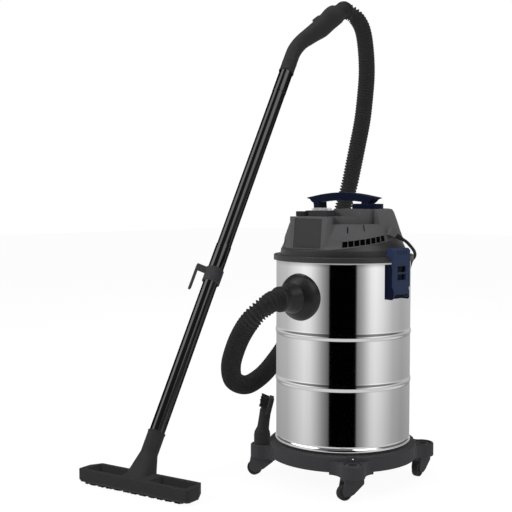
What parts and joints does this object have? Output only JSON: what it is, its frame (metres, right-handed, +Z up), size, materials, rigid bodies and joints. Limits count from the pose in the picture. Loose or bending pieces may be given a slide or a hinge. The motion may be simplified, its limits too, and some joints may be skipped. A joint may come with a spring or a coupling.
{
  "type": "shop vacuum",
  "caption": "Wet and dry shop vacuum on a caster dolly, with a lift-off motor head, two latches, hose, wand, floor nozzle and brush tool.",
  "frame": {"origin": "on the floor at the drum's axis", "axes": "+Z up along the drum, -Y out of the hose inlet, +X to the right latch"},
  "size_m": [0.5625, 0.8952, 1.152],
  "materials": {
    "head_grey": "fine moulded grain",
    "dolly_plastic": "fine moulded grain",
    "black_plastic": "fine moulded grain",
    "navy_plastic": "fine moulded grain",
    "stainless": "polished, faint vertical drawing lines",
    "black_tube": "smooth gloss lacquer",
    "zinc": "zinc plated",
    "hose_plastic": "corrugated, satin",
    "cord_sheath": "matt",
    "tread": "matt",
    "bristle": "bristles",
    "clear_cap": "clear, ribbed",
    "switch_red": "smooth",
    "cast_aluminium": "die cast",
    "lamination": "pressed laminations",
    "copper": "copper windings",
    "filter_paper": "pleated paper",
    "float_plastic": "smooth"
  },
  "bodies": {
    "base": {"dolly": "dolly_plastic", "dolly_screws": "zinc", "tank_shell": "stainless", "tank_floor": "stainless", "inlet_flange": "black_plastic", "inlet_nut": "black_plastic", "inlet_deflector": "black_plastic", "hose_cuff_tank": "black_plastic", "hose": "hose_plastic", "hose_cuff_grip": "black_plastic", "latch_bracket_right": "navy_plastic", "latch_bracket_left": "navy_plastic", "latch_pins": "zinc", "latch_rivets": "zinc", "cord_coil": "cord_sheath", "cord_tie": "cord_sheath", "plug": "cord_sheath", "nozzle_body": "black_plastic", "nozzle_sole": "dolly_plastic", "nozzle_brushes": "bristle", "lower_tube": "black_tube", "upper_tube": "black_tube", "parking_hook": "dolly_plastic", "wand_grip": "black_plastic"},
    "head": {"lid": "head_grey", "lid_seal": "cord_sheath", "motor_cover": "head_grey", "front_panel": "head_grey", "carry_handle": "navy_plastic", "handle_screws": "zinc", "head_screws": "zinc", "switch_housing": "dolly_plastic", "switch_cap": "clear_cap", "terminal_cap": "dolly_plastic", "vent_screens": "black_plastic", "cord_gland": "cord_sheath", "power_cord": "cord_sheath", "motor_mount": "dolly_plastic", "fan_housing": "cast_aluminium", "motor_stator": "lamination", "motor_bearings": "zinc", "filter_cage": "black_plastic", "filter_cartridge": "filter_paper", "filter_clamp": "navy_plastic"},
    "rotor": {"motor_rotor": "copper", "fan": "cast_aluminium"},
    "switch": {"switch_rocker": "switch_red"},
    "float": {"float_ball": "float_plastic"},
    "latch_right": {"latch_lever_right": "navy_plastic"},
    "latch_left": {"latch_lever_left": "navy_plastic"},
    "brush": {"brush_tool": "black_plastic"},
    "slider": {"suction_slider": "dolly_plastic"},
    "caster_front_right": {"caster_front_right": "dolly_plastic"},
    "wheel_front_right": {"wheel_front_right": "tread"},
    "caster_rear_right": {"caster_rear_right": "dolly_plastic"},
    "wheel_rear_right": {"wheel_rear_right": "tread"},
    "caster_rear_left": {"caster_rear_left": "dolly_plastic"},
    "wheel_rear_left": {"wheel_rear_left": "tread"},
    "caster_front_left": {"caster_front_left": "dolly_plastic"},
    "wheel_front_left": {"wheel_front_left": "tread"}
  },
  "joints": [
    {"name": "head_lift", "type": "slide", "parent": "base", "child": "head", "axis": [0, 0, 1], "range_m": [0, 0.22]},
    {"name": "rotor_spin", "type": "hinge", "parent": "head", "child": "rotor", "pos_m": [0, 0, 0.56], "axis": [0, 0, 1], "continuous": true},
    {"name": "switch_rock", "type": "hinge", "parent": "head", "child": "switch", "pos_m": [0, -0.076, 0.5975], "axis": [1, 0, 0], "range_deg": [0, 16]},
    {"name": "float_rise", "type": "slide", "parent": "head", "child": "float", "axis": [0, 0, 1], "range_m": [0, 0.03]},
    {"name": "latch_right_swing", "type": "hinge", "parent": "base", "child": "latch_right", "pos_m": [0.16211, -0.01704, 0.426], "axis": [0.1045, 0.9945, 0], "range_deg": [0, 75]},
    {"name": "latch_left_swing", "type": "hinge", "parent": "base", "child": "latch_left", "pos_m": [-0.16211, 0.01704, 0.426], "axis": [-0.1045, -0.9945, 0], "range_deg": [0, 75]},
    {"name": "caster_front_right_swivel", "type": "hinge", "parent": "base", "child": "caster_front_right", "pos_m": [0.12869, -0.12869, 0.045], "axis": [0, 0, 1], "continuous": true},
    {"name": "wheel_front_right_spin", "type": "hinge", "parent": "caster_front_right", "child": "wheel_front_right", "pos_m": [0.12088, -0.1471, 0.0165], "axis": [0.9205, -0.3907, 0], "continuous": true},
    {"name": "caster_rear_right_swivel", "type": "hinge", "parent": "base", "child": "caster_rear_right", "pos_m": [0.12869, 0.12869, 0.045], "axis": [0, 0, 1], "continuous": true},
    {"name": "wheel_rear_right_spin", "type": "hinge", "parent": "caster_rear_right", "child": "wheel_rear_right", "pos_m": [0.13078, 0.1088, 0.0165], "axis": [0.9945, 0.1045, 0], "continuous": true},
    {"name": "caster_rear_left_swivel", "type": "hinge", "parent": "base", "child": "caster_rear_left", "pos_m": [-0.12869, 0.12869, 0.045], "axis": [0, 0, 1], "continuous": true},
    {"name": "wheel_rear_left_spin", "type": "hinge", "parent": "caster_rear_left", "child": "wheel_rear_left", "pos_m": [-0.11869, 0.14601, 0.0165], "axis": [-0.866, 0.5, 0], "continuous": true},
    {"name": "caster_front_left_swivel", "type": "hinge", "parent": "base", "child": "caster_front_left", "pos_m": [-0.12869, -0.12869, 0.045], "axis": [0, 0, 1], "continuous": true},
    {"name": "wheel_front_left_spin", "type": "hinge", "parent": "caster_front_left", "child": "wheel_front_left", "pos_m": [-0.14826, -0.13285, 0.0165], "axis": [0.2079, -0.9781, 0], "continuous": true},
    {"name": "brush_lift", "type": "slide", "parent": "base", "child": "brush", "axis": [0, 0, 1], "range_m": [0, 0.06]},
    {"name": "suction_slide", "type": "slide", "parent": "base", "child": "slider", "axis": [0.4454, 0.659, 0.606], "range_m": [0, 0.012]}
  ]
}
